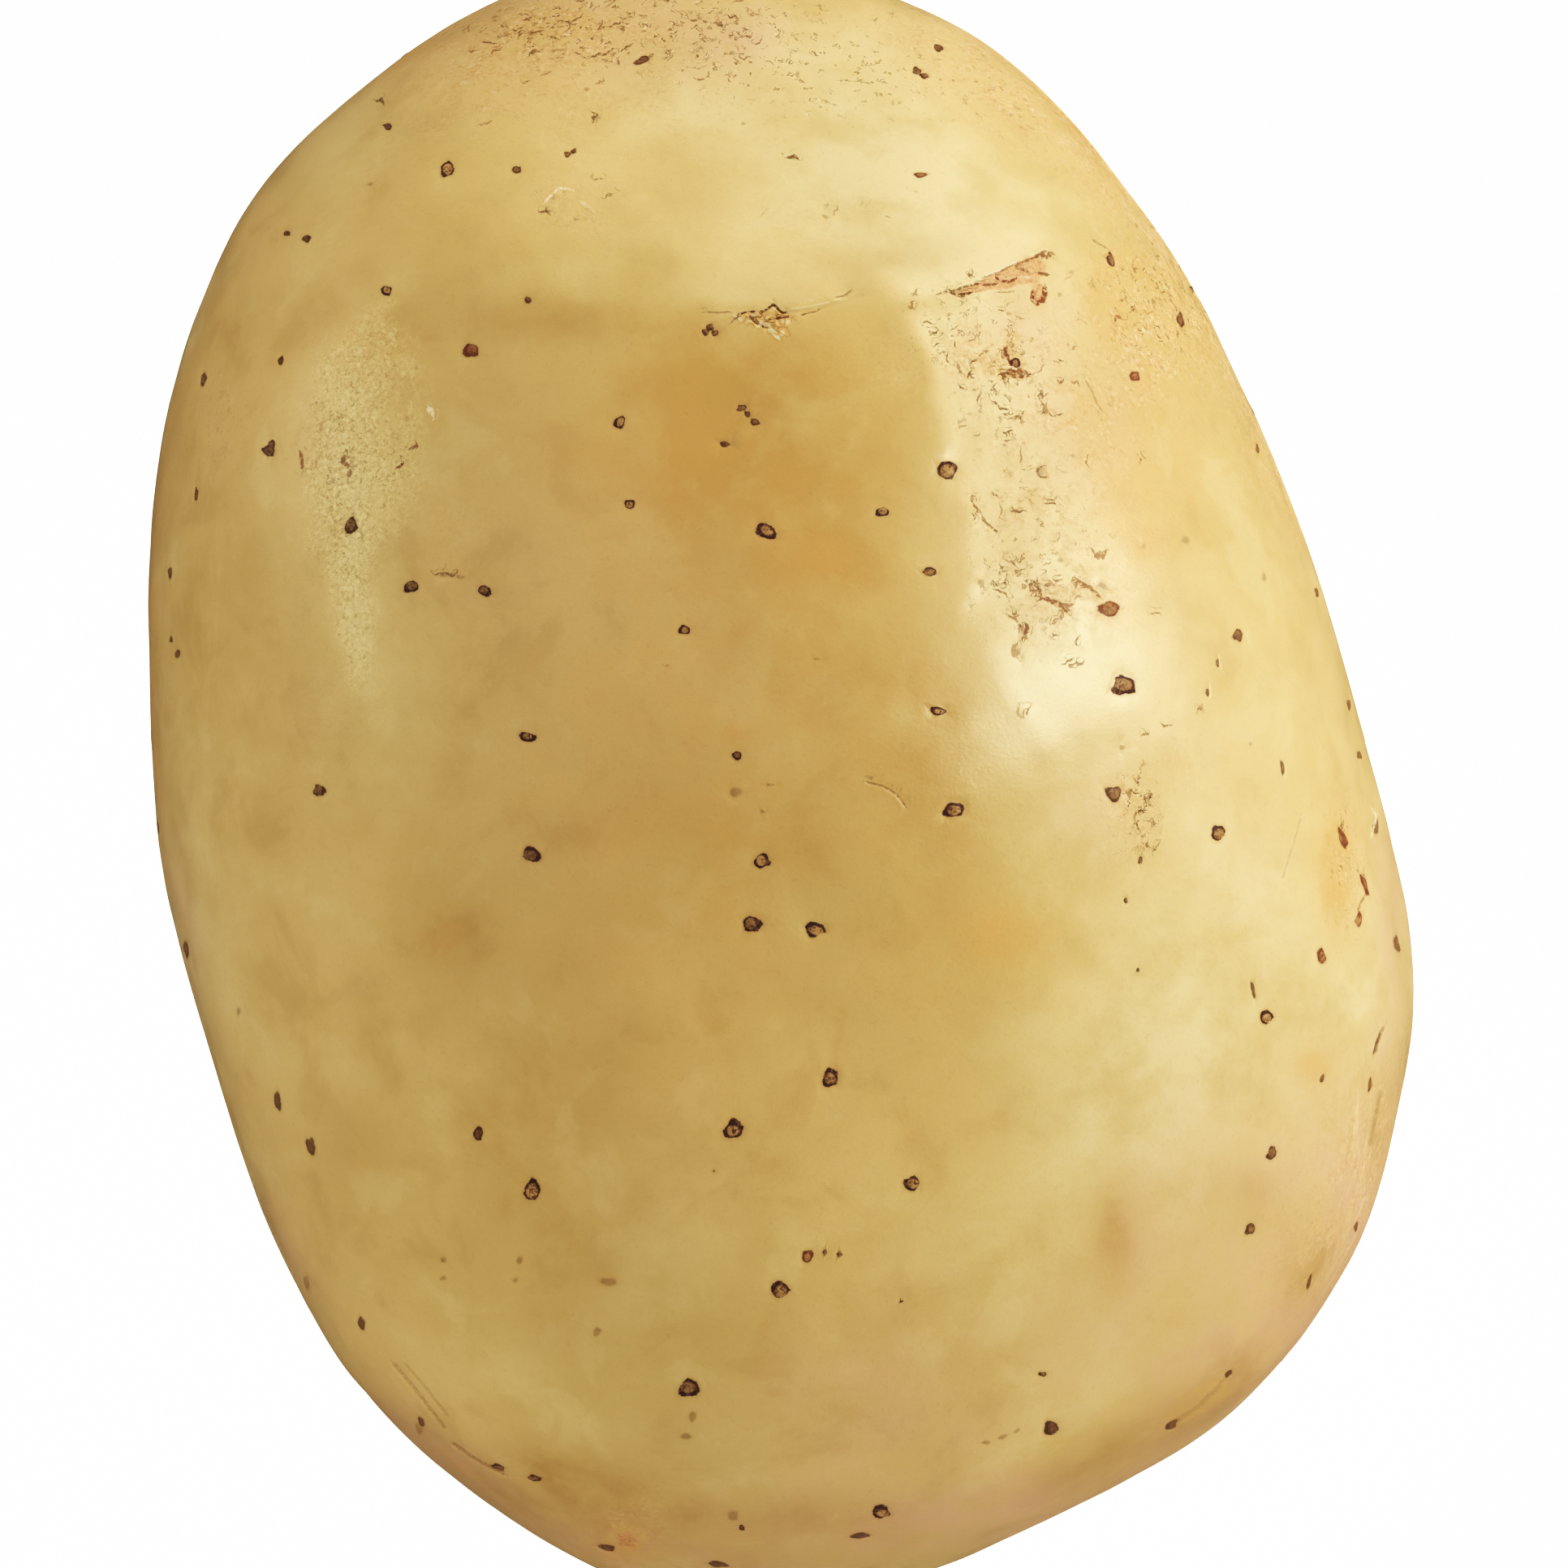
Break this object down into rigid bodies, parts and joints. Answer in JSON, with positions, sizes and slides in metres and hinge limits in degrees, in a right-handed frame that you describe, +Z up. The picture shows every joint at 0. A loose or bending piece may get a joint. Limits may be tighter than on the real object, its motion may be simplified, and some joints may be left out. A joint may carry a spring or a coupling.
{
  "type": "potato",
  "caption": "Whole washed white potato lying on its flattest side, with shallow eyes and freckled golden skin.",
  "frame": {"origin": "on the ground under the potato, below the middle of its bounding box", "axes": "+Y along the length to the stem end, +X to the right flank seen from above with the stem end up, +Z up"},
  "size_m": [0.078, 0.1014, 0.064],
  "materials": {
    "potato_skin": "smooth thin skin with a soft satin shine"
  },
  "bodies": {
    "root": {"potato": "potato_skin"}
  },
  "joints": []
}
